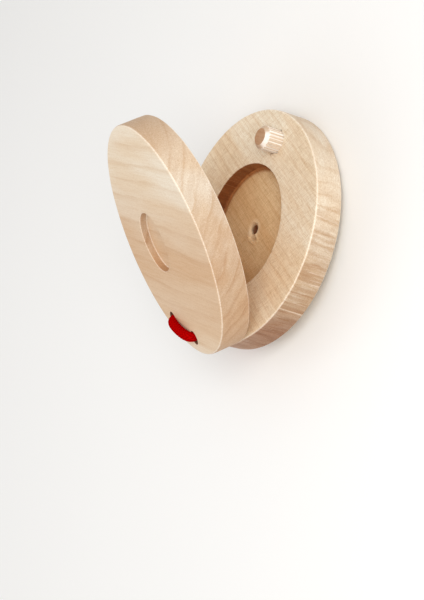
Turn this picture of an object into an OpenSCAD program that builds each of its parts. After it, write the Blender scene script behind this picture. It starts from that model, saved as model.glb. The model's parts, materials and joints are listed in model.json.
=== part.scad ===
// Pair of wooden hand castanets: two turned discs that rock open and shut on a ridge,
// held together by one loop of elastic cord, with a striking peg near the far edge.
// The finger disc lies below and the thumb disc above, open as the elastic holds them.
// +X runs along the ridge, +Y from the ridge to the peg, +Z up from the table.

/* [Discs] */
// Diameter of each disc
disc_d = 60; // [55:0.5:66]
// Thickness of each disc
disc_t = 7.6; // [7:0.1:9]
// Radius of the rounded rim edges
edge_r = 0.6; // [0.3:0.1:1]
// Diameter of the hollow in each inner face
hollow_d = 32; // [28:0.5:34]
// Depth of the hollow
hollow_depth = 3.8; // [3:0.1:4]
// Diameter of the small hole that the boring bit's point leaves in the hollow's floor
spur_d = 2; // [1:0.1:2.4]
// Depth of that hole in the finger disc, down to its pointed end
spur_depth = 2; // [1.4:0.1:2.4]
// Wood left between that hole in the thumb disc and the thumb seat behind it
spur_skin = 0.6; // [0.3:0.1:0.8]

/* [Ridge] */
// Distance from a disc's centre to the ridge that it rocks on
ridge_y = 22.6; // [21:0.1:23.5]
// Angle between the discs when they are open
open_angle = 37; // [30:0.5:42]
// Distance that each disc keeps from the line that it rocks on
ridge_gap = 0.05; // [0.03:0.01:0.1]

/* [Striking peg] */
// Diameter of the peg
peg_d = 6; // [5:0.1:7]
// Height that the peg stands above the inner face
peg_h = 5; // [4:0.1:6]
// Depth of the hole that the peg is pressed into
peg_seat = 5; // [3:0.1:5.5]
// Distance from the disc's centre to the peg
peg_y = 22.6; // [21:0.1:24]
// Width of the chamfer round the peg's tip
peg_chamfer = 0.8; // [0.2:0.1:1]

/* [Thumb seat] */
// Diameter of the shallow seat for the thumb in the thumb disc's outer face
seat_d = 15.5; // [14:0.1:17]
// Depth of the thumb seat
seat_depth = 2; // [1:0.1:2.4]
// Sideways place of the seat's centre
seat_x = -6.2; // [-8:0.1:0]
// Place of the seat's centre towards the peg, measured from the disc's centre
seat_y = -2.8; // [-4:0.1:2]

/* [Elastic cord] */
// Diameter of the cord
cord_d = 2.8; // [2.4:0.1:3.2]
// Diameter of the cord holes
hole_d = 3.6; // [3.4:0.1:4.2]
// Distance between the two cord holes of a disc
hole_spacing = 12.5; // [11:0.1:14]
// Distance from a disc's centre to the line of the cord holes
hole_y = 25.2; // [25:0.1:26]
// Radius of the cord's centre line where it turns over the edge of a hole
bend_r = 1.9; // [1.85:0.01:1.95]
// Diameter of each of the two rounded lumps that the knot is made of
knot_d = 5.2; // [4.4:0.1:5.6]
// Distance between the centre lines of the two lumps
knot_w = 2.2; // [1.6:0.1:2.6]
// Length of the knot's straight middle
knot_l = 5; // [4:0.1:6]
// Length of each cut end that stands out of the knot
tail_l = 7; // [5:0.1:9]
// Angle between a cut end and the line of the holes
tail_angle = 24; // [15:1:30]

/* [Hidden] */
$fn = 96;

disc_r = disc_d / 2;
cord_r = cord_d / 2;
knot_r = knot_d / 2;
bevel = open_angle / 2;
hole_x = hole_spacing / 2;
// the cord lies this far off the face, measured to its centre line
cord_lift = cord_r + ridge_gap;
cut = 1;
// The thumb disc is thinner there, so the bit's point goes in less deeply.
thumb_spur_depth = max(0.3, min(spur_depth, disc_t - hollow_depth - seat_depth - spur_skin));

// In the discs' own frame the ridge is the X axis, and the disc's centre is at +Y.
outer_z = -ridge_gap - disc_t;
hole_from_ridge = ridge_y - hole_y;
knot_z = outer_z - ridge_gap - knot_r;

// The finger disc leans on its far rim and on the knot. The table is the line that touches both circles.
rim_y = ridge_y + disc_r - edge_r;
rim_z = outer_z + edge_r;
rest_y = hole_from_ridge + knot_w / 2;
run = rim_y - rest_y;
rise = rim_z - knot_z;
lean = atan2(rise, run) - asin((edge_r - knot_r) / norm([run, rise]));
table_z = rim_z * cos(lean) - rim_y * sin(lean) - edge_r;

// The box is centred between the finger disc's far edge and the thumb disc's near edge.
slope = open_angle - lean;
far_y = rim_y * cos(lean) - (ridge_gap + edge_r) * sin(lean) + edge_r;
near_y = (ridge_y - disc_r + edge_r) * cos(slope) + (outer_z + edge_r) * sin(slope) - edge_r;
mid_y = (far_y + near_y) / 2;

module place_finger_side() {
    translate([0, -mid_y, -table_z]) rotate([-lean, 0, 0]) children();
}

// Children are drawn as for the finger side, and are flipped over and opened.
module place_thumb_side() {
    place_finger_side() rotate([open_angle, 0, 0]) mirror([0, 0, 1]) children();
}

module rounded_blank() {
    rotate_extrude() {
        square([disc_r - edge_r, disc_t]);
        translate([0, edge_r]) square([disc_r, disc_t - 2 * edge_r]);
        translate([disc_r - edge_r, edge_r]) circle(edge_r);
        translate([disc_r - edge_r, disc_t - edge_r]) circle(edge_r);
    }
}

// Everything on the far side of a disc's bevel, which slopes down behind the ridge.
module beyond_bevel() {
    rotate([bevel, 0, 0]) translate([-disc_r, -disc_r, -ridge_gap]) cube([disc_d, disc_r, disc_r]);
}

module hollow(bit_depth) {
    translate([0, ridge_y, -ridge_gap - hollow_depth]) {
        cylinder(r = hollow_d / 2, h = hollow_depth + cut);
        translate([0, 0, -bit_depth + spur_d / 2]) cylinder(d = spur_d, h = bit_depth);
        translate([0, 0, -bit_depth]) cylinder(d1 = 0, d2 = spur_d, h = spur_d / 2);
    }
}

module cord_holes() {
    for (x = [-hole_x, hole_x])
        translate([x, hole_from_ridge, outer_z - cut]) cylinder(d = hole_d, h = disc_t + 2 * cut);
}

module shell(bit_depth) {
    difference() {
        translate([0, ridge_y, outer_z]) rounded_blank();
        beyond_bevel();
        hollow(bit_depth);
        cord_holes();
    }
}

module finger_disc() {
    color("#dcbf9a") place_finger_side() difference() {
        shell(spur_depth);
        translate([0, ridge_y + peg_y, -ridge_gap - peg_seat]) cylinder(d = peg_d, h = peg_seat + cut);
    }
}

module thumb_disc() {
    color("#e3cba9") place_thumb_side() difference() {
        shell(thumb_spur_depth);
        translate([seat_x, ridge_y + seat_y, outer_z - cut]) cylinder(d = seat_d, h = seat_depth + cut);
    }
}

module striking_peg() {
    straight = peg_seat + peg_h - peg_chamfer;
    color("#e6c8a4") place_finger_side() translate([0, ridge_y + peg_y, -ridge_gap - peg_seat]) {
        cylinder(d = peg_d, h = straight);
        translate([0, 0, straight])
            cylinder(d1 = peg_d, d2 = peg_d - 2 * peg_chamfer, h = peg_chamfer);
    }
}

// One leg of the loop with the bend that lays it against the outer face, on the side given by s.
module cord_leg(s) {
    bend_z = outer_z - cord_lift + bend_r;
    difference() {
        translate([s * hole_x, hole_from_ridge, bend_z]) cylinder(r = cord_r, h = disc_t);
        beyond_bevel();
    }
    translate([s * (hole_x - bend_r), hole_from_ridge, bend_z])
        rotate([-90, 0, 0]) rotate([0, 0, s > 0 ? 0 : 90])
            rotate_extrude(angle = 90) translate([bend_r, 0]) circle(cord_r);
}

module along_face(length) {
    translate([-length / 2, hole_from_ridge, outer_z - cord_lift])
        rotate([0, 90, 0]) cylinder(r = cord_r, h = length);
}

module knot_lump() {
    rotate([0, 90, 0]) rotate_extrude() intersection() {
        translate([0, -knot_l]) square([knot_r, 2 * knot_l]);
        union() {
            translate([0, -knot_l / 2]) square([knot_r, knot_l]);
            for (y = [-1, 1]) translate([0, y * knot_l / 2]) circle(knot_r);
        }
    }
}

// A cut end that leaves the knot towards the disc's centre and lies on the face.
module cut_end(s) {
    translate([s * knot_l / 2, rest_y, outer_z - cord_lift])
        rotate([0, 90, s > 0 ? tail_angle : 180 - tail_angle]) cylinder(r = cord_r, h = tail_l);
}

module elastic_finger_half() {
    color("#c8141a") place_finger_side() {
        along_face(hole_spacing - 2 * bend_r);
        for (s = [-1, 1]) {
            cord_leg(s);
            translate([0, hole_from_ridge + s * knot_w / 2, knot_z]) knot_lump();
            cut_end(s);
        }
    }
}

module elastic_thumb_half() {
    color("#c8141a") place_thumb_side() {
        for (s = [-1, 1]) cord_leg(s);
        along_face(hole_spacing - 2 * bend_r);
    }
}

finger_disc();
thumb_disc();
striking_peg();
elastic_finger_half();
elastic_thumb_half();
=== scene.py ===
"""Wooden hand castanets: two turned discs, a fluted striking peg and one loop of braided elastic.

Lengths are in millimetres up to the moment a mesh is made. Each disc and the peg has its own frame:
X runs along the ridge, Y from the ridge to the peg, and Z out of the inner face, with 0 at the ridge.
"""

import json
import math

import bpy
import numpy as np
from mathutils import Matrix, Vector, noise


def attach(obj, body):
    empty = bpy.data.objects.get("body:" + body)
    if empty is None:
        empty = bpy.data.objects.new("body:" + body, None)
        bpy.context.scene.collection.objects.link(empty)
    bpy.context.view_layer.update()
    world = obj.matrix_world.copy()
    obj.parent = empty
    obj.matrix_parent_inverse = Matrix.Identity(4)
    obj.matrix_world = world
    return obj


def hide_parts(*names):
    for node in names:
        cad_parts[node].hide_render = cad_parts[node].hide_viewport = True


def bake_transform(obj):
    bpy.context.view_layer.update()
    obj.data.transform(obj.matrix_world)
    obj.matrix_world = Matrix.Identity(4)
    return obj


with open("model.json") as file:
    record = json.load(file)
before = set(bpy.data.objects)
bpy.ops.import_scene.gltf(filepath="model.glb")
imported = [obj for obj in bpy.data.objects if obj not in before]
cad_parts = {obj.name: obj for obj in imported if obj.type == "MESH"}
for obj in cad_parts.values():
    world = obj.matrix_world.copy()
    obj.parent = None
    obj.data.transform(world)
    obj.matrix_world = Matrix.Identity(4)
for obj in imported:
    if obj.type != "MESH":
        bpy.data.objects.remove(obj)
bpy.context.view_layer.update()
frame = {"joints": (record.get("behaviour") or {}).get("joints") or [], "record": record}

MM = 0.001
TAU = 2 * math.pi
MIDDLE = Vector((0, 0, 20)) * MM

# The discs. The hollow's floor is cut into small faces out to TORN_R, where the bit's point tore it.
DISC_R = 30.0
DISC_T = 7.6
EDGE_R = 0.6
HOLLOW_R = 16.0
HOLLOW_DEPTH = 3.8
FILLET_R = 0.5
LIP_R = 0.25
TORN_R = 4.6
SPUR_R = 1.2
FINGER_SPUR = 2.0
THUMB_SPUR = 1.2
OPEN_ANGLE = math.radians(37.0)
RIDGE_Y = 22.6
RIDGE_GAP = 0.05
TOP = -RIDGE_GAP
BOTTOM = TOP - DISC_T
FLOOR = TOP - HOLLOW_DEPTH
SEGMENTS = 384
PAST = 1.0  # how far a cutter stands out of the wood

# The striking peg
PEG_R = 3.0
PEG_H = 5.0
PEG_SEAT = 5.0
PEG_Y = RIDGE_Y + 22.6
PEG_CHAMFER = 0.95
FLUTES = 18
FLUTE_DEPTH = 0.17

# The thumb seat, in the thumb disc's own frame
SEAT_R = 7.75
SEAT_DEPTH = 2.0
SEAT_X = 6.2
SEAT_Y = RIDGE_Y - 2.8

# The cord's holes and its radius: as it is loose, as the braid is drawn, in the holes and in the knot
HOLE_R = 1.8
HOLE_X = 6.25
HOLE_Y = RIDGE_Y - 25.2
CORD_R = 1.4
BRAID_R = 1.29
LEG_R = 1.22
KNOT_CORD_R = 1.12

# The knot: half the height between its strands, half its straight middle, and where its bights run
KNOT_LIFT = 1.16
KNOT_HALF = 1.7
KNOT_MIDDLE = 1.65
KNOT_SPREAD = 0.5

# The braid: the route's step, the yarns that run each way, the points around, the yarns' slant, and the
# shares of the radius that lie under the yarns and in them
STEP = 0.14
STRANDS = 12
AROUND = 120
PITCH = 0.72
BRAID_LOW = 0.935
BRAID_RELIEF = 0.07
END_RELIEF = 0.4  # the relief that a cut end is shaded with

# The joint gives the ridge, and the thumb seat's axis gives the slope of the thumb disc.
pivot = Vector(frame["joints"][0]["pos_m"])
seat_axis = frame["record"]["mounts"][0]["axis"]
slope = math.atan2(-seat_axis[1], seat_axis[2])
lean = OPEN_ANGLE - slope
finger_place = Matrix.Translation(pivot) @ Matrix.Rotation(-lean, 4, "X")
thumb_place = Matrix.Translation(pivot) @ Matrix.Rotation(slope, 4, "X") @ Matrix.Rotation(math.pi, 4, "Y")


# ---------------------------------------------------------------- camera, light and floor


def make_camera():
    """A long lens, from the side of the open mouth, rolled until the hinge is at the bottom."""
    place = Vector((307.75, 84.43, 205.60)) * MM
    ahead = Vector((-0.8145, -0.2736, -0.5116)).normalized()
    up = Vector((-0.3792, 0.9184, 0.1127))
    right = ahead.cross(up).normalized()
    up = right.cross(ahead)
    data = bpy.data.cameras.new("camera")
    data.lens = 90.0
    data.clip_start = 0.01
    data.clip_end = 50.0
    camera = bpy.data.objects.new("camera", data)
    axes = Matrix((right, up, -ahead)).transposed().to_4x4()
    camera.matrix_world = Matrix.Translation(place) @ axes
    bpy.context.scene.collection.objects.link(camera)
    bpy.context.scene.camera = camera


def make_light(name, direction, distance, size, power, colour):
    """A square soft box that faces the object's middle from the given direction."""
    data = bpy.data.lights.new(name, "AREA")
    data.size = size
    data.energy = power
    data.color = colour
    light = bpy.data.objects.new(name, data)
    towards = Vector(direction).normalized()
    light.location = towards * distance + MIDDLE
    light.rotation_mode = "QUATERNION"
    light.rotation_quaternion = towards.to_track_quat("Z", "Y")
    bpy.context.scene.collection.objects.link(light)


def make_lights():
    world = bpy.data.worlds.new("studio")
    world.use_nodes = True
    background = world.node_tree.nodes["Background"]
    background.inputs["Color"].default_value = (1.0, 0.995, 0.985, 1.0)
    background.inputs["Strength"].default_value = 0.62
    bpy.context.scene.world = world
    make_light("key", (0.76, 0.32, 0.56), 0.45, 0.30, 1.30, (1.0, 0.99, 0.97))
    make_light("top_fill", (-0.30, -0.42, 0.86), 0.45, 0.35, 0.42, (1.0, 0.99, 0.98))
    bpy.context.scene.view_settings.view_transform = "Standard"


def make_floor(material):
    """A wide pale table top."""
    half = 3.0
    corners = [(-half, -half, 0), (half, -half, 0), (half, half, 0), (-half, half, 0)]
    mesh = bpy.data.meshes.new("table")
    mesh.from_pydata(corners, [], [(0, 1, 2, 3)])
    mesh.materials.append(material)
    table = bpy.data.objects.new("table", mesh)
    bpy.context.scene.collection.objects.link(table)


# ---------------------------------------------------------------- node helpers


def new_material(name):
    material = bpy.data.materials.new(name)
    material.use_nodes = True
    tree = material.node_tree
    return material, tree, tree.nodes["Principled BSDF"]


def add(tree, kind, inputs, **settings):
    """A shader node with its inputs set or linked."""
    node = tree.nodes.new("ShaderNode" + kind)
    for key, value in settings.items():
        setattr(node, key, value)
    for key, value in inputs.items():
        if isinstance(value, bpy.types.NodeSocket):
            tree.links.new(value, node.inputs[key])
        else:
            node.inputs[key].default_value = value
    return node


def calc(tree, operation, a, b=0.0, c=0.0):
    return add(tree, "Math", {0: a, 1: b, 2: c}, operation=operation).outputs[0]


def between(tree, value, low, high, out_low=0.0, out_high=1.0):
    """value from low to high, eased onto out_low to out_high and held there outside."""
    inputs = {"Value": value, "From Min": low, "From Max": high, "To Min": out_low, "To Max": out_high}
    return add(tree, "MapRange", inputs, interpolation_type="SMOOTHSTEP").outputs[0]


def grain_noise(tree, board, along, across, detail=3.0, seed=0.0, deep=None):
    """Noise stretched along the grain. along, across and deep are how often it varies per millimetre on
    each axis, and deep is the same as across unless it is given."""
    scale = (along, across, across if deep is None else deep)
    inputs = {"Vector": board, "Scale": scale, "Location": (seed, seed, seed)}
    stretched = add(tree, "Mapping", inputs).outputs[0]
    return add(tree, "TexNoise", {"Vector": stretched, "Scale": 1.0, "Detail": detail}).outputs["Fac"]


def tint(tree, base, factor, colour, amount, how="MULTIPLY"):
    """base, multiplied by colour where factor is 1, or turned into it with how="MIX"."""
    share = calc(tree, "MULTIPLY", factor, amount)
    node = add(tree, "Mix", {}, data_type="RGBA", blend_type=how)
    tree.links.new(share, node.inputs[0])
    if isinstance(base, bpy.types.NodeSocket):
        tree.links.new(base, node.inputs[6])
    else:
        node.inputs[6].default_value = (*base, 1.0)
    node.inputs[7].default_value = (*colour, 1.0)
    return node.outputs[2]


# ---------------------------------------------------------------- materials


def floor_paint():
    material, tree, shader = new_material("pale_floor")
    place = add(tree, "TexCoord", {}).outputs["Object"]
    mottle = add(tree, "TexNoise", {"Vector": place, "Scale": 9.0, "Detail": 2.0}).outputs["Fac"]
    colour = tint(tree, (0.93, 0.925, 0.915), mottle, (0.985, 0.985, 0.985), 1.0)
    tree.links.new(colour, shader.inputs["Base Color"])
    shader.inputs["Roughness"].default_value = 0.6
    return material


def wood(name, pale, turn, tilt, ring_gap, ring_depth, seed, hinge_shade, ends, sides, kind="disc"):
    """Sanded maple or beech. turn is the grain's angle in the face, and tilt is how far the rings lean
    out of it, both in degrees; ring_gap is in millimetres. hinge_shade is painted shade that darkens the
    board towards the hinge, where the hand held it, and ends and sides tint the end grain and the long
    grain of the rim. kind is disc, rough disc or dowel. A rough disc shows its sanding and saw marks and
    painted hand shade on its rim near the hinge, and a dowel's grain runs along Z."""
    material, tree, shader = new_material(name)
    coords = add(tree, "TexCoord", {})
    place = coords.outputs["Object"]
    dowel = kind == "dowel"
    rough_disc = kind == "rough disc"
    turn_by = (0, math.radians(90), 0) if dowel else (0, 0, math.radians(-turn))
    turned = add(tree, "Mapping", {"Vector": place, "Rotation": turn_by})
    turned.inputs["Scale"].default_value = (1 / MM,) * 3
    turned = turned.outputs[0]
    tilted = add(tree, "Mapping", {"Vector": turned, "Rotation": (math.radians(tilt), 0, 0)})
    tilted.inputs["Location"].default_value = (seed * 17.0, seed * 5.3, seed * 3.1)
    board = tilted.outputs[0]
    width = add(tree, "SeparateXYZ", {"Vector": turned}).outputs["Y"]
    end_grain, side_grain, flat = grain_facing(tree, coords.outputs["Normal"], turn_by)

    ring = year_rings(tree, board, ring_gap)
    fibre = grain_noise(tree, board, 0.10, 2.4, 4.0, 3.0)
    grit = grain_noise(tree, board, 1.6, 3.2, 3.0, 6.0)
    sawn = saw_marks(tree, board, end_grain)

    colour = board_colour(tree, pale, board, width, hinge_shade)
    ring_share = calc(tree, "MULTIPLY", ring, between(tree, end_grain, 0.2, 1.0, 1.0, 1.7))
    colour = tint(tree, colour, ring_share, (0.80, 0.66, 0.52), ring_depth)
    streaks = between(tree, fibre, 0.38, 0.66)
    colour = tint(tree, colour, streaks, (0.91, 0.86, 0.80), 0.7 if rough_disc else 0.4)
    colour = tint(tree, colour, between(tree, grit, 0.4, 0.7), (0.92, 0.87, 0.81), 0.7)
    colour = tint(tree, colour, between(tree, side_grain, 0.1, 1.0), sides, 0.9)
    colour = tint(tree, colour, between(tree, end_grain, 0.3, 1.0), ends, 0.9)
    colour = tint(tree, colour, sawn, (0.76, 0.64, 0.54), 0.8 if rough_disc else 0.3)
    lit_worn_edge = lit_worn_edges(tree, flat, grit, 0.9 if dowel else 0.4)
    if dowel:
        # painted highlight: the peg's chamfer ring lit whitish, partly its paler cut wood
        colour = tint(tree, colour, lit_worn_edge, (1.0, 0.97, 0.92), 0.9, "MIX")
    else:
        hatch = calc(tree, "MULTIPLY", cross_hatch(tree, turned), flat)
        inside, height, radius = in_hollow(tree, place)
        colour = tint(tree, colour, rim_speckle(tree, board, flat), (0.80, 0.72, 0.64), 0.8)
        if rough_disc:
            colour = shaded_scored_rim(tree, colour, board, width, end_grain, flat)
        colour = tint(tree, colour, hatch, (0.72, 0.60, 0.47), 0.8 if rough_disc else 0.10)
        colour = hollow_colour(tree, colour, inside, height, radius, grit)
        # painted shade inside the cord holes
        colour = tint(tree, colour, in_cord_holes(tree, place), (0.30, 0.16, 0.10), 0.9)
        lit_worn_edge = calc(tree, "MULTIPLY", lit_worn_edge, calc(tree, "SUBTRACT", 1.0, inside))
        # painted highlight along the rounded edges, partly their paler burnished wood
        colour = tint(tree, colour, lit_worn_edge, (0.97, 0.88, 0.77), 0.65, "MIX")
    tree.links.new(colour, shader.inputs["Base Color"])

    relief = calc(tree, "MULTIPLY_ADD", ring, -0.2, fibre)
    relief = calc(tree, "MULTIPLY_ADD", grit, 0.8, relief)
    if rough_disc:
        relief = calc(tree, "MULTIPLY_ADD", hatch, -0.4, relief)
        relief = calc(tree, "MULTIPLY_ADD", sawn, -0.9, relief)
    bump = add(tree, "Bump", {"Height": relief, "Strength": 0.6, "Distance": 0.09 * MM})
    tree.links.new(bump.outputs[0], shader.inputs["Normal"])
    tree.links.new(between(tree, fibre, 0.2, 0.8, 0.50, 0.64), shader.inputs["Roughness"])
    shader.inputs["Specular IOR Level"].default_value = 0.25
    return material


def grain_facing(tree, normal, turn_by):
    """How squarely the surface shows the end grain, the long grain of the rim and a flat face."""
    turned = add(tree, "Mapping", {"Vector": normal, "Rotation": turn_by}).outputs[0]
    facing = add(tree, "SeparateXYZ", {"Vector": turned})
    return [squared(tree, facing.outputs[axis]) for axis in "XYZ"]


def year_rings(tree, board, ring_gap):
    """The dark late wood of each year, wavy, and stronger in some parts of the board."""
    across = add(tree, "SeparateXYZ", {"Vector": board}).outputs["Y"]
    wander = calc(tree, "SUBTRACT", grain_noise(tree, board, 0.012, 0.05, 2.0), 0.5)
    ripple = calc(tree, "SUBTRACT", grain_noise(tree, board, 0.06, 0.30, 2.0), 0.5)
    bent = calc(tree, "MULTIPLY_ADD", wander, 7.0, across)
    bent = calc(tree, "MULTIPLY_ADD", ripple, 1.2, bent)
    year = calc(tree, "FRACT", calc(tree, "DIVIDE", bent, ring_gap))
    late = between(tree, year, 0.62, 0.93)
    before_next = between(tree, year, 0.93, 1.0, 1.0, 0.0)
    strength = between(tree, grain_noise(tree, board, 0.03, 0.15, 1.0, 2.0), 0.35, 0.6, 0.25, 1.0)
    return calc(tree, "MULTIPLY", calc(tree, "MULTIPLY", late, before_next), strength)


def board_colour(tree, pale, board, width, hinge_shade):
    """The board's slow change of tone, and painted shade that darkens it towards the hinge, where the hand
    held it.
    """
    tone = grain_noise(tree, board, 0.02, 0.11, 2.0, 8.0)
    colour = tint(tree, pale, between(tree, tone, 0.35, 0.65), (0.93, 0.84, 0.74), 0.9)
    # painted shade: darker towards the hinge, standing in for the holding hand's shade and warm bounce
    hinge_side = between(tree, width, 14, 42, 1.0, 0.0)
    off_hinge = between(tree, width, -6, 8, 0.4, 1.0)
    return tint(tree, colour, calc(tree, "MULTIPLY", hinge_side, off_hinge), hinge_shade, 1.0)


def saw_marks(tree, board, end_grain):
    """Dark bands through the rim's thickness, where the end grain is cut."""
    stripe = grain_noise(tree, board, 0.02, 0.85, 5.0, 12.0, 0.12)
    return calc(tree, "MULTIPLY", between(tree, stripe, 0.36, 0.64), between(tree, end_grain, 0.2, 0.6))


def rim_speckle(tree, board, flat):
    """Fine pores on the upright faces."""
    pores = between(tree, grain_noise(tree, board, 3.6, 5.0, 4.0, 15.0), 0.28, 0.72)
    return calc(tree, "MULTIPLY", pores, between(tree, flat, 0.1, 0.6, 1.0, 0.0))


def lit_worn_edges(tree, flat, grit, least):
    """1 on rounded and chamfered edges, fading to least where the grit is high: a painted highlight where
    the edges catch the light, over the paler burnished wood of the sanded edge.
    """
    sloping = calc(tree, "MULTIPLY", calc(tree, "MULTIPLY", flat, calc(tree, "SUBTRACT", 1.0, flat)), 4.0)
    patchy = between(tree, grit, 0.25, 0.6, 1.0, least)
    return calc(tree, "MULTIPLY", between(tree, sloping, 0.5, 0.95), patchy)


def shaded_scored_rim(tree, colour, board, width, end_grain, flat):
    """The rim near the hinge, darkened with painted shade where the holding hand shades it, with a few pale
    scores across its end grain.
    """
    upright = calc(tree, "SUBTRACT", 1.0, flat)
    hand_shade = calc(tree, "MULTIPLY", between(tree, width, 9, 24, 1.0, 0.0), upright)
    # painted shade: the rim darkened towards the hinge, where the hand's shadow falls
    colour = tint(tree, colour, hand_shade, (0.59, 0.42, 0.37), 0.9)
    scored = between(tree, grain_noise(tree, board, 0.03, 1.9, 3.0, 21.0, 0.07), 0.60, 0.70)
    scored = calc(tree, "MULTIPLY", scored, between(tree, end_grain, 0.2, 0.6))
    return tint(tree, colour, scored, (0.93, 0.78, 0.64), 0.45, "MIX")


def hollow_colour(tree, colour, inside, height, radius, grit):
    """Painted shade in the hollow, as a browner floor, a darker wall and a dark pit in the bit's hole, and
    the torn, paler mouth of that hole.
    """
    # painted shade: the hollow's floor browner and its wall darker, as in a recess
    colour = tint(tree, colour, inside, (0.90, 0.73, 0.51), 0.9)
    wall = calc(tree, "MULTIPLY", inside, between(tree, radius, HOLLOW_R - 1.5, HOLLOW_R - 0.4))
    colour = tint(tree, colour, wall, (0.50, 0.26, 0.13), 0.9)
    torn = between(tree, radius, SPUR_R + 0.4, SPUR_R + 2.0, 1.0, 0.0)
    torn = calc(tree, "MULTIPLY", torn, between(tree, grit, 0.3, 0.55, 0.3, 1.0))
    colour = tint(tree, colour, calc(tree, "MULTIPLY", torn, inside), (0.86, 0.68, 0.47), 0.6, "MIX")
    # painted shade: the spur hole's pit made near black
    pit = calc(tree, "MULTIPLY", inside, between(tree, height, FLOOR - 1.0, FLOOR - 0.15, 1.0, 0.0))
    return tint(tree, colour, pit, (0.18, 0.075, 0.03), 1.0)


def squared(tree, value):
    return calc(tree, "MULTIPLY", value, value)


def in_hollow(tree, place):
    """1 on the bored wall and floor of the hollow, which get painted shade, and above the thumb seat's
    floor, with the height and the radius there."""
    move = {"Vector": place, "Scale": (1 / MM,) * 3, "Location": (0, -RIDGE_Y, 0)}
    parts = add(tree, "SeparateXYZ", {"Vector": add(tree, "Mapping", move).outputs[0]})
    x, y, z = parts.outputs["X"], parts.outputs["Y"], parts.outputs["Z"]
    radius = calc(tree, "SQRT", calc(tree, "MULTIPLY_ADD", x, x, calc(tree, "MULTIPLY", y, y)))
    inside = between(tree, radius, HOLLOW_R + 0.02, HOLLOW_R + 0.15, 1.0, 0.0)
    under = between(tree, z, TOP - 0.4, TOP - 0.1, 1.0, 0.0)
    over = between(tree, z, BOTTOM + SEAT_DEPTH + 0.2, BOTTOM + SEAT_DEPTH + 0.4)
    return calc(tree, "MULTIPLY", inside, calc(tree, "MULTIPLY", under, over)), z, radius


def in_cord_holes(tree, place):
    """1 on the walls of the two cord holes, which are darkened with painted shade."""
    move = {"Vector": place, "Scale": (1 / MM,) * 3, "Location": (0, -HOLE_Y, 0)}
    parts = add(tree, "SeparateXYZ", {"Vector": add(tree, "Mapping", move).outputs[0]})
    x = calc(tree, "SUBTRACT", calc(tree, "ABSOLUTE", parts.outputs["X"]), HOLE_X)
    y = parts.outputs["Y"]
    radius = calc(tree, "SQRT", calc(tree, "MULTIPLY_ADD", x, x, calc(tree, "MULTIPLY", y, y)))
    return between(tree, radius, HOLE_R + 0.03, HOLE_R + 0.12, 1.0, 0.0)


def cross_hatch(tree, board):
    """Fine, nearly even sanding scratches from 0 to 1, along the grain and across it at a slant."""
    found = None
    for angle, gap in ((4.0, 0.50), (-66.0, 0.56)):
        inputs = {"Vector": board, "Rotation": (0, 0, math.radians(angle))}
        turned = add(tree, "Mapping", inputs).outputs[0]
        across = add(tree, "SeparateXYZ", {"Vector": turned}).outputs["Y"]
        wobble = grain_noise(tree, turned, 0.25, 0.9, 2.0, angle)
        phase = calc(tree, "MULTIPLY_ADD", across, TAU / gap, calc(tree, "MULTIPLY", wobble, 22.0))
        line = calc(tree, "MULTIPLY_ADD", calc(tree, "SINE", phase), 0.5, 0.5)
        depth = between(tree, grain_noise(tree, turned, 0.3, 0.8, 2.0, angle + 40.0), 0.35, 0.62, 0.15, 0.5)
        line = calc(tree, "MULTIPLY", line, depth)
        found = line if found is None else calc(tree, "ADD", found, line)
    return found


def elastic_braid():
    """Deep red polyester yarn, with painted shade between the strands."""
    material, tree, shader = new_material("red_braid")
    relief = add(tree, "Attribute", {}, attribute_name="relief").outputs["Fac"]
    place = add(tree, "TexCoord", {}).outputs["Object"]
    fuzz = add(tree, "TexNoise", {"Vector": place, "Scale": 5200.0, "Detail": 2.0}).outputs["Fac"]
    strand_shade = between(tree, relief, 0.1, 0.95, 1.0, 0.0)
    # painted shade in the crevices between the yarns
    colour = tint(tree, (0.48, 0.001, 0.001), strand_shade, (0.36, 0.15, 0.15), 1.0)
    colour = tint(tree, colour, fuzz, (0.80, 0.55, 0.55), 0.5)
    tree.links.new(colour, shader.inputs["Base Color"])
    bump = add(tree, "Bump", {"Height": fuzz, "Strength": 0.5, "Distance": 0.05 * MM})
    tree.links.new(bump.outputs[0], shader.inputs["Normal"])
    shader.inputs["Roughness"].default_value = 0.55
    shader.inputs["Specular IOR Level"].default_value = 0.0
    return material


def rubber_core():
    """The pale rubber threads that show at a cut end."""
    material, tree, shader = new_material("rubber_core")
    place = add(tree, "TexCoord", {}).outputs["Object"]
    cells = add(tree, "TexVoronoi", {"Vector": place, "Scale": 2300.0}).outputs["Distance"]
    colour = tint(tree, (0.80, 0.72, 0.60), between(tree, cells, 0.2, 0.6), (0.45, 0.38, 0.32), 1.0)
    tree.links.new(colour, shader.inputs["Base Color"])
    shader.inputs["Roughness"].default_value = 0.7
    return material


# ---------------------------------------------------------------- mesh helpers


def arc(centre_r, centre_z, radius, start, end, steps):
    """Points on a circle in the (radius, height) plane, from angle start to end in degrees."""
    turns = np.radians(np.linspace(start, end, steps + 1))
    return [(centre_r + radius * math.cos(t), centre_z + radius * math.sin(t)) for t in turns]


def run(start, end, step):
    """Points along a straight line, without its first point, no further apart than step."""
    count = max(1, math.ceil(math.dist(start, end) / step))
    shares = np.linspace(0, 1, count + 1)[1:]
    return [(start[0] + (end[0] - start[0]) * s, start[1] + (end[1] - start[1]) * s) for s in shares]


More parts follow.
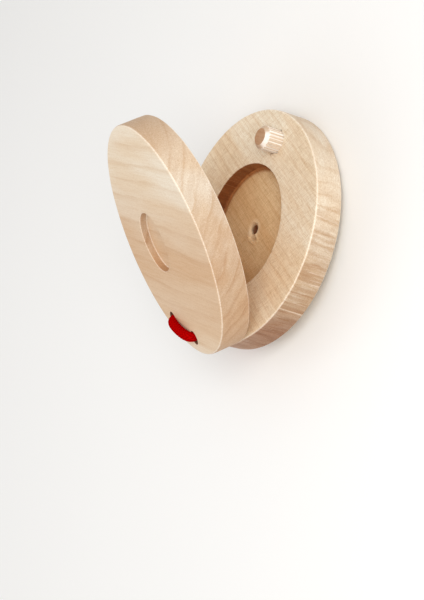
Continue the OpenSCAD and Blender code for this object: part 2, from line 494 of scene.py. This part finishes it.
def lathe(profile, segments):
    """Points and faces of a closed turned shape. The profile starts and ends on the axis, and runs up the
    outside, so that the faces look outwards."""
    turns = np.linspace(0, TAU, segments, endpoint=False)
    inner = np.array(profile[1:-1])
    points = [(0.0, 0.0, profile[0][1])]
    for radius, height in inner:
        points += [(radius * c, radius * s, height) for c, s in zip(np.cos(turns), np.sin(turns))]
    points.append((0.0, 0.0, profile[-1][1]))
    last = len(points) - 1
    faces = []
    for k in range(segments):
        n = (k + 1) % segments
        faces.append((0, 1 + n, 1 + k))
        for ring in range(len(inner) - 1):
            a = 1 + ring * segments
            b = a + segments
            faces.append((a + k, a + n, b + n, b + k))
        end = 1 + (len(inner) - 1) * segments
        faces.append((last, end + k, end + n))
    return np.array(points), faces


def make_mesh(name, points, faces):
    """A mesh in metres from points in millimetres."""
    mesh = bpy.data.meshes.new(name)
    mesh.from_pydata((np.asarray(points) * MM).tolist(), [], faces)
    mesh.validate()
    mesh.update()
    return mesh


def make_object(name, mesh):
    piece = bpy.data.objects.new(name, mesh)
    bpy.context.scene.collection.objects.link(piece)
    return piece


def normals_of(points, faces):
    """Unit vertex normals of a closed mesh."""
    mesh = make_mesh("scratch", points, faces)
    found = np.zeros(len(points) * 3, np.float32)
    mesh.vertices.foreach_get("normal", found)
    bpy.data.meshes.remove(mesh)
    return found.reshape(-1, 3)


def ease(value, low, high):
    """Smoothstep of value from low to high, for arrays."""
    share = np.clip((value - low) / (high - low), 0, 1)
    return share * share * (3 - 2 * share)


def rough(points, wavelength, seed, stretch=(1, 1, 1)):
    """Perlin noise from -1 to 1 at each point, with its wavelength in millimetres along X, Y and Z."""
    scale = 1 / (wavelength * np.array(stretch, float))
    shift = np.array([31.7, 11.3, 7.9]) * seed
    return np.array([noise.noise(Vector(p)) for p in points * scale + shift])


def cut(piece, cutters):
    """Takes the cutters' shapes, given as points and faces, out of piece."""
    tools = []
    for points, faces in cutters:
        tool = make_object("cutter", make_mesh("cutter", points, faces))
        tool.hide_render = True
        cutting = piece.modifiers.new("cut", "BOOLEAN")
        cutting.operation = "DIFFERENCE"
        cutting.solver = "EXACT"
        cutting.object = tool
        tools.append(tool)
    graph = bpy.context.evaluated_depsgraph_get()
    carved = bpy.data.meshes.new_from_object(piece.evaluated_get(graph))
    piece.modifiers.clear()
    old = piece.data
    piece.data = carved
    bpy.data.meshes.remove(old)
    carved.name = piece.name
    for tool in tools:
        data = tool.data
        bpy.data.objects.remove(tool)
        bpy.data.meshes.remove(data)


def finish_piece(piece, place, body, material, nodes, sharp=40.0):
    """Shades a piece smooth up to the given edge angle, puts it in place and hands it to its body."""
    piece.data.shade_smooth()
    piece.data.set_sharp_from_angle(angle=math.radians(sharp))
    piece.data.materials.clear()
    piece.data.materials.append(material)
    piece.matrix_world = place
    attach(piece, body)
    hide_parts(*nodes)


# ---------------------------------------------------------------- discs


def disc_profile(spur_depth):
    """From the point of the spur hole, up the hollow, over the inner face and round the rim to the middle
    of the outer face, and then turned round, because a lathe profile runs up the outside."""
    cone_top = FLOOR - spur_depth + SPUR_R
    profile = [(0.0, FLOOR - spur_depth)]
    profile += run(profile[-1], (SPUR_R, cone_top), 0.2)
    profile += run(profile[-1], (SPUR_R, FLOOR - 0.1), 0.15)
    profile += arc(SPUR_R + 0.1, FLOOR - 0.1, 0.1, 180, 90, 3)[1:]
    profile += run(profile[-1], (TORN_R, FLOOR), 0.12)
    profile += run(profile[-1], (HOLLOW_R - FILLET_R, FLOOR), 0.4)
    profile += arc(HOLLOW_R - FILLET_R, FLOOR + FILLET_R, FILLET_R, 270, 360, 6)[1:]
    profile += run(profile[-1], (HOLLOW_R, TOP - LIP_R), 0.4)
    profile += arc(HOLLOW_R + LIP_R, TOP - LIP_R, LIP_R, 180, 90, 4)[1:]
    profile += run(profile[-1], (DISC_R - EDGE_R, TOP), 0.5)
    profile += arc(DISC_R - EDGE_R, TOP - EDGE_R, EDGE_R, 90, 0, 7)[1:]
    profile += run(profile[-1], (DISC_R, BOTTOM + EDGE_R), 0.4)
    profile += arc(DISC_R - EDGE_R, BOTTOM + EDGE_R, EDGE_R, 0, -90, 7)[1:]
    profile += run(profile[-1], (0.0, BOTTOM), 0.6)
    return profile[::-1]


def lower_behind_ridge(points):
    """Slopes the inner face down behind the ridge, at half the opening angle, as a sanded facet. The ridge
    is rounded over about soft, and the facet meets its true height a few millimetres behind it."""
    soft = 0.35
    back = -points[:, 1]
    eased = 0.5 * (back + np.sqrt(back * back + soft * soft)) - 0.5 * soft * np.exp(-np.abs(back) / 3)
    drop = np.maximum(eased, 0) * math.tan(OPEN_ANGLE / 2)
    share = ease(points[:, 2], BOTTOM + EDGE_R, TOP - EDGE_R)
    points[:, 2] -= drop * share
    return points


def tear_spur(points, towards, seed):
    """The crumbled mouth of the bit's point hole, and the shallow chip that it tore out beside it."""
    from_spur = points[:, :2] - np.array([0, RIDGE_Y])
    near = np.hypot(*from_spur.T)
    on_floor = ease(points[:, 2], FLOOR - 0.3, FLOOR - 0.05) * ease(-points[:, 2], -FLOOR - 0.3, -FLOOR)
    chip = from_spur - np.array(towards) * 2.2
    ragged = 1 + 0.35 * rough(points, 0.9, seed)
    from_chip = np.hypot(chip[:, 0] * 0.55, chip[:, 1]) / ragged
    dent = 1 - ease(from_chip, 0.45, 1.05)
    lip = np.exp(-(((from_chip - 1.25) / 0.22) ** 2)) * (near > SPUR_R + 0.15)
    mouth = np.hypot(np.where(from_spur[:, 0] < 0, 0.68, 1.0) * from_spur[:, 0], from_spur[:, 1])
    crumble = np.clip(1 - (mouth - SPUR_R) / (0.55 * ragged), 0, 1) * (near > SPUR_R * 0.9)
    rise = np.exp(-(((near - SPUR_R - 0.75) / 0.25) ** 2)) * (0.6 + 0.9 * rough(points, 0.7, seed + 1))
    points[:, 2] += on_floor * (0.18 * lip + 0.12 * rise - 0.45 * crumble - 0.40 * dent)
    return points


def disc_shape(seed, spur_depth, chip_towards):
    """A turned blank with its hollow and bevel, and the small unevenness of sanding and boring."""
    points, faces = lathe(disc_profile(spur_depth), SEGMENTS)
    points[:, 1] += RIDGE_Y
    normals = normals_of(points, faces)
    height = points[:, 2]
    radius = np.hypot(points[:, 0], points[:, 1] - RIDGE_Y)
    on_rim = ease(radius, DISC_R - EDGE_R, DISC_R)
    on_floor = (radius < HOLLOW_R - 0.6) & (radius > TORN_R) & (abs(height - FLOOR) < 0.1)
    on_lip = ease(height, TOP - 0.6, TOP - 0.1) * (abs(radius - HOLLOW_R) < 0.3)
    relief = 0.035 * rough(points, 7.0, seed)
    relief += on_rim * 0.030 * rough(points, 1.0, seed + 2, (6.0, 0.9, 2.5))
    relief += on_floor * 0.020 * np.sin(TAU * radius / 0.9)
    relief -= on_lip * 0.16 * np.maximum(0, rough(points, 0.7, seed + 3))
    relief -= 0.035
    points += normals * relief[:, None]
    points = tear_spur(points, chip_towards, seed + 4)
    return lower_behind_ridge(points), faces


def cord_bores():
    """The two drills for the cord, rounded a little where they leave the outer face and the bevel."""
    bevel_top = TOP + HOLE_Y * math.tan(OPEN_ANGLE / 2)
    outer, inner = 0.12, 0.15
    profile = [(0, BOTTOM - PAST), (HOLE_R + outer + 0.3, BOTTOM - PAST)]
    profile += arc(HOLE_R + outer, BOTTOM + outer, outer, 260, 180, 5)
    profile += arc(HOLE_R + inner, bevel_top - inner, inner, 180, 100, 5)
    profile += [(HOLE_R + inner + 0.3, bevel_top + PAST), (0, bevel_top + PAST)]
    points, faces = lathe(profile, 96)
    for side in (-1, 1):
        yield points + np.array([side * HOLE_X, HOLE_Y, 0]), faces


def peg_socket():
    """The peg's hole, whose mouth the fluted peg has torn open here and there."""
    points, faces = lathe([(0, TOP - PEG_SEAT - 0.1), (PEG_R + 0.02, TOP - PEG_SEAT - 0.1)]
                          + run((PEG_R + 0.02, TOP - 0.9), (PEG_R + 0.05, TOP + 0.6), 0.15)
                          + [(0, TOP + 0.6)], 120)
    angle = np.arctan2(points[:, 1], points[:, 0])
    ring = np.stack([np.cos(angle), np.sin(angle), 0 * angle], 1)
    torn = np.maximum(rough(ring * 4, 1.5, 9) - 0.05, 0) * 1.5
    flare = ease(points[:, 2], TOP - 0.9, TOP) * torn * (np.hypot(*points[:, :2].T) > 1)
    points += ring * flare[:, None]
    return points + np.array([0, PEG_Y, 0]), faces


def seat_bore():
    """The round seat for the thumb, with a rounded lip and a filleted floor."""
    floor = BOTTOM + SEAT_DEPTH
    lip = 0.35
    profile = [(0, BOTTOM - PAST), (SEAT_R + lip + 0.3, BOTTOM - PAST)]
    profile += arc(SEAT_R + lip, BOTTOM + lip, lip, 260, 180, 5)
    profile += arc(SEAT_R - FILLET_R, floor - FILLET_R, FILLET_R, 0, 90, 5)
    profile.append((0, floor))
    points, faces = lathe(profile, 144)
    return points + np.array([SEAT_X, SEAT_Y, 0]), faces


def make_finger_disc(material):
    points, faces = disc_shape(1.0, FINGER_SPUR, (0.38, -0.92))
    disc = make_object("finger_disc_turned", make_mesh("finger_disc_turned", points, faces))
    cut(disc, [*cord_bores(), peg_socket()])
    finish_piece(disc, finger_place, "finger_side", material, ["finger_disc"])


def make_thumb_disc(material):
    points, faces = disc_shape(2.0, THUMB_SPUR, (0.3, -0.9))
    disc = make_object("thumb_disc_turned", make_mesh("thumb_disc_turned", points, faces))
    cut(disc, [*cord_bores(), seat_bore()])
    finish_piece(disc, thumb_place, "thumb_side", material, ["thumb_disc"])


# ---------------------------------------------------------------- striking peg


def peg_profile(foot, tip):
    """Up the peg's side from the middle of its foot, over the chamfer to the middle of its tip."""
    profile = [(0.0, foot), *run((0.0, foot), (PEG_R, foot), 0.5)]
    profile += run((PEG_R, foot), (PEG_R, tip - PEG_CHAMFER), 0.4)
    profile += run((PEG_R, tip - PEG_CHAMFER), (PEG_R - PEG_CHAMFER, tip), 0.1)
    profile += arc(PEG_R - PEG_CHAMFER - 0.12, tip - 0.1, 0.12, 45, 90, 3)[1:]
    return profile + run(profile[-1], (0.0, tip), 0.25)


def flute(points):
    """Presses the flutes into the peg's side. They run out where the chamfer is narrower than they are."""
    radius = np.hypot(*points[:, :2].T)
    angle = np.arctan2(points[:, 1], points[:, 0])
    groove = np.maximum(np.cos(FLUTES * angle), 0) ** 3
    limit = PEG_R - FLUTE_DEPTH * groove + 0.03 * rough(points, 0.9, 3, (1, 1, 5))
    fluted = np.where(radius > 0.5, np.minimum(radius, limit), radius)
    points[:, :2] *= (fluted / np.maximum(radius, 1e-9))[:, None]
    return points


def make_peg(material):
    """A fluted dowel with a chamfered, slightly uneven tip."""
    tip = TOP + PEG_H
    points, faces = lathe(peg_profile(TOP - PEG_SEAT, tip), 12 * FLUTES)
    points = flute(points)
    on_tip = ease(points[:, 2], tip - 0.05, tip)
    points[:, 2] += on_tip * (0.05 * rough(points, 0.5, 5) - 0.05)
    points[:, 1] += PEG_Y
    peg = make_object("striking_peg_fluted", make_mesh("striking_peg_fluted", points, faces))
    finish_piece(peg, finger_place, "finger_side", material, ["striking_peg"], 50.0)


# ---------------------------------------------------------------- elastic


def knot_strand(side):
    """One bight of the square knot, as (x, y, height off the outer face), from its tail to its hole.

    The two bights are the same but for a half turn about the knot's middle line along Y."""
    middle = KNOT_CORD_R + KNOT_LIFT + RIDGE_GAP
    outer = KNOT_MIDDLE + KNOT_SPREAD
    inner = KNOT_MIDDLE - KNOT_SPREAD
    path = []
    for x in np.linspace(-KNOT_HALF, KNOT_HALF, 25):
        lift = KNOT_LIFT * math.cos(math.pi * x / KNOT_HALF)
        path.append((x, KNOT_MIDDLE + KNOT_SPREAD * x / KNOT_HALF, lift))
    for turn in np.linspace(90, -90, 31)[1:-1]:
        x = KNOT_HALF + outer * math.cos(math.radians(turn))
        path.append((x, outer * math.sin(math.radians(turn)), -KNOT_LIFT))
    path += [(x, -y, z) for x, y, z in reversed(path[:25])]
    low = middle - KNOT_LIFT
    if side < 0:
        tail = [(-9.0, 4.4, CORD_R + 0.1), (-7.6, 3.6, CORD_R + 0.1)]
        tail += [(-5.2, 2.0, low), (-3.0, inner + 0.1, low)]
        lead = [(-3.2, -inner + 0.1, low), (-4.4, -0.6, low + 0.1)]
    else:
        high = middle + KNOT_LIFT
        tail = [(-9.0, 4.6, CORD_R + 0.1), (-7.6, 3.8, CORD_R + 0.3)]
        tail += [(-5.2, 2.2, high - 0.7), (-3.2, inner + 0.2, high)]
        lead = [(-3.2, -inner + 0.1, high), (-4.7, -0.7, high - 0.35), (-5.9, -0.2, high - 1.5)]
    knot = [(x, y, middle + (z if side < 0 else -z)) for x, y, z in path]
    return [(-side * x, y, h) for x, y, h in tail + knot + lead]


def finger_point(x, y, height):
    """A point off the finger disc's outer face, in the finger disc's frame."""
    return Vector((x, HOLE_Y + y, BOTTOM - height))


def thumb_to_finger(point):
    """The thumb disc's frame is the finger disc's, turned over and then opened about the ridge."""
    return (Matrix.Rotation(OPEN_ANGLE, 3, "X") @ Matrix.Rotation(math.pi, 3, "Y")) @ Vector(point)


def cord_route():
    """The cord's centre line in the finger disc's frame, from one cut end through the knot, up one pair of
    holes, over the thumb disc's outer face, down the other pair and back through the knot."""
    left = [finger_point(*p) for p in knot_strand(-1)]
    right = [finger_point(*p) for p in knot_strand(1)]
    depth = HOLE_Y * math.tan(OPEN_ANGLE / 2)

    def legs(side):
        up = [Vector((side * 5.95, HOLE_Y, BOTTOM + 0.8)), Vector((side * 6.15, HOLE_Y, BOTTOM + 2.5))]
        up += [Vector((side * HOLE_X, HOLE_Y, TOP + depth - 0.8))]
        return up

    def thumb_legs(side):
        inside = [(side * HOLE_X, HOLE_Y, TOP + depth - 0.8), (side * 6.1, HOLE_Y, BOTTOM + 2.5)]
        inside += [(side * 5.75, HOLE_Y, BOTTOM + 0.9), (side * 5.4, HOLE_Y, BOTTOM - 0.5)]
        return [thumb_to_finger((-x, y, z)) for x, y, z in inside]

    over = [(x, HOLE_Y, BOTTOM - CORD_R + 0.02 * x * x) for x in (-3.8, -1.9, 0, 1.9, 3.8)]
    crossing = [thumb_to_finger((-x, y, z)) for x, y, z in over]
    points = left + legs(-1) + thumb_legs(-1) + crossing
    points += thumb_legs(1)[::-1] + legs(1)[::-1] + right[::-1]
    return smooth_line(points)


def resample(points, step):
    """The same line with its points an even step apart."""
    lengths = np.concatenate([[0], np.cumsum(np.linalg.norm(np.diff(points, axis=0), axis=1))])
    count = round(lengths[-1] / step)
    marks = np.linspace(0, lengths[-1], count + 1)
    return np.stack([np.interp(marks, lengths, points[:, k]) for k in range(3)], 1)


def smooth_line(points, reach=0.55):
    """Rounds a line's corners over about reach millimetres and keeps its ends."""
    line = resample(np.array(points, float), 0.05)
    width = round(3 * reach / 0.05)
    kernel = np.exp(-0.5 * (np.arange(-width, width + 1) * 0.05 / reach) ** 2)
    kernel /= kernel.sum()
    first = 2 * line[0] - line[width:0:-1]
    last = 2 * line[-1] - line[-2 : -width - 2 : -1]
    padded = np.concatenate([first, line, last])
    even = np.stack([np.convolve(padded[:, k], kernel, "valid") for k in range(3)], 1)
    return resample(even, STEP)


def braid_height(around, along):
    """Relief from 0 to 1 of a cover plaited from two crossing sets of yarns, each over two and under two."""
    first = around + along
    second = around - along
    cell_a, cell_b = np.floor(first), np.floor(second)
    round_a = np.sqrt(np.maximum(0, 1 - (2 * (first - cell_a) - 1) ** 2))
    round_b = np.sqrt(np.maximum(0, 1 - (2 * (second - cell_b) - 1) ** 2))
    lift_a = np.cos(math.pi / 2 * (second + cell_a - 1))
    lift_b = -np.cos(math.pi / 2 * (first + cell_b - 1))
    return np.maximum(round_a * (0.6 + 0.4 * lift_a), round_b * (0.6 + 0.4 * lift_b))


def cord_radius(route):
    """Plump where the cord lies over the thumb disc, drawn thinner in its holes and in the knot."""
    count = len(route)
    off_thumb = np.array([(Matrix.Rotation(-OPEN_ANGLE, 3, "X") @ Vector(p)).z for p in route])
    plump = ease(off_thumb, DISC_T - 0.8, DISC_T + 0.8)
    from_end = np.minimum(np.arange(count), np.arange(count)[::-1]) * STEP
    loose = 1 - ease(from_end, 3.0, 6.0)
    in_knot = ease(-route[:, 2], -BOTTOM - 0.5, -BOTTOM + 0.5) * (1 - loose)
    return LEG_R + (BRAID_R - LEG_R) * np.maximum(plump, loose) - (LEG_R - KNOT_CORD_R) * in_knot


def sweep(route, radii):
    """A braided tube along the route, with flat ends. Gives points, faces, relief and the end faces."""
    tangents = np.gradient(route, axis=0)
    tangents /= np.linalg.norm(tangents, axis=1)[:, None]
    side = np.cross(tangents[0], [0.0, 1.0, 0.3])
    turns = np.linspace(0, TAU, AROUND, endpoint=False)
    points, relief = [], []
    for k, (centre, ahead) in enumerate(zip(route, tangents)):
        side = side - ahead * (side @ ahead)
        side /= np.linalg.norm(side)
        other = np.cross(ahead, side)
        height = braid_height(turns * STRANDS / TAU, PITCH * k * STEP * STRANDS / (TAU * CORD_R))
        radius = radii[k] * (BRAID_LOW + BRAID_RELIEF * height)
        sideways = np.outer(radius * np.cos(turns), side)
        points.append(centre + sideways + np.outer(radius * np.sin(turns), other))
        relief.append(height)
    faces = []
    for k in range(len(route) - 1):
        a, b = k * AROUND, (k + 1) * AROUND
        faces += [(a + i, a + (i + 1) % AROUND, b + (i + 1) % AROUND, b + i) for i in range(AROUND)]
    points = np.concatenate(points)
    relief = np.concatenate(relief)
    ends = []
    for first, inward, flip in ((0, tangents[0], False), (len(points) - AROUND, -tangents[-1], True)):
        added, end_faces, core_faces = cut_end(points, first, inward, flip)
        points = np.concatenate([points, added])
        relief = np.concatenate([relief, np.full(len(added), END_RELIEF)])
        faces += end_faces
        ends += range(len(faces), len(faces) + len(core_faces))
        faces += core_faces
    return points, faces, relief, ends


def cut_end(points, first, inward, flip):
    """Closes the tube at the ring of points from first on: the cover's edge, then the sunken core."""
    rim = points[first : first + AROUND]
    middle = rim.mean(0)
    outer = len(points)
    inner = outer + AROUND
    centre = inner + AROUND
    edge = middle + (rim - middle) * 0.72
    core = middle + (rim - middle) * 0.66 + inward * 0.12
    added = np.concatenate([edge, core, [middle + inward * 0.02]])
    quads = []
    for a, b in ((first, outer), (outer, inner)):
        quads += [(a + i, b + i, b + (i + 1) % AROUND, a + (i + 1) % AROUND) for i in range(AROUND)]
    fan = [(inner + i, centre, inner + (i + 1) % AROUND) for i in range(AROUND)]
    if flip:
        quads = [q[::-1] for q in quads]
        fan = [f[::-1] for f in fan]
    return added, quads, fan


def make_elastic(braid, core):
    """One cord for both CAD halves, bent where it passes from the finger disc's holes into the thumb disc's.
    """
    route = cord_route()
    points, faces, relief, ends = sweep(route, cord_radius(route))
    cord = make_object("elastic_cord", make_mesh("elastic_cord", points, faces))
    shade = cord.data.attributes.new("relief", "FLOAT", "POINT")
    shade.data.foreach_set("value", relief.astype(np.float32))
    cord.data.materials.append(braid)
    cord.data.materials.append(core)
    for k in ends:
        cord.data.polygons[k].material_index = 1
    cord.data.shade_smooth()
    cord.matrix_world = finger_place
    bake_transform(cord)
    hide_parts("elastic_finger_half", "elastic_thumb_half")


# ---------------------------------------------------------------- scene

make_camera()
make_lights()
make_floor(floor_paint())
no_tint = (1.0, 1.0, 1.0)
make_finger_disc(
    wood(
        "finger_disc_wood", (0.95, 0.87, 0.725), -14, 3, 2.4, 0.35, 1.0,
        hinge_shade=(0.99, 0.95, 0.90), ends=(0.68, 0.61, 0.57), sides=(0.87, 0.86, 0.88), kind="rough disc",
    )
)
make_thumb_disc(
    wood(
        "thumb_disc_wood", (0.91, 0.81, 0.67), -15, 50, 3.4, 0.35, 2.0,
        hinge_shade=(0.82, 0.66, 0.53), ends=(0.80, 0.82, 0.86), sides=(0.72, 0.59, 0.49),
    )
)
make_peg(
    wood(
        "peg_wood", (0.75, 0.63, 0.51), 0, 0, 1.3, 0.3, 3.0,
        hinge_shade=no_tint, ends=(0.70, 0.50, 0.36), sides=no_tint, kind="dowel",
    )
)
make_elastic(elastic_braid(), rubber_core())
